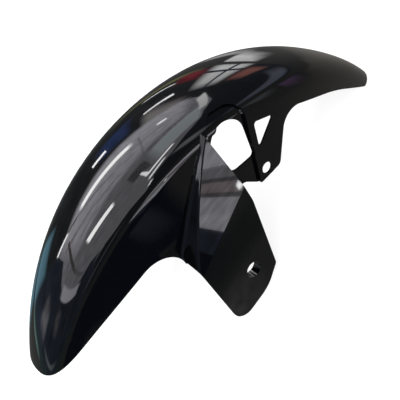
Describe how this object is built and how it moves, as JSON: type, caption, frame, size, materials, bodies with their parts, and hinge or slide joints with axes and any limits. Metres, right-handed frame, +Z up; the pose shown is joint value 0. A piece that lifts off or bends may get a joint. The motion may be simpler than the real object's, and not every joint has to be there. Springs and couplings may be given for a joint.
{
  "type": "motorcycle front mudguard",
  "caption": "Arched glossy front mudguard for a motorcycle wheel, with folded side wings that bolt outside the fork legs and recessed, pierced flanks.",
  "frame": {"origin": "middle of the lower bolt axis, half way between the two ears", "axes": "+X forward, +Y to the rider's left along the bolt axis, +Z up as the guard hangs over the wheel"},
  "size_m": [0.6334, 0.205, 0.296],
  "materials": {
    "shell": "gloss"
  },
  "bodies": {
    "root": {"mudguard": "shell"}
  },
  "joints": []
}
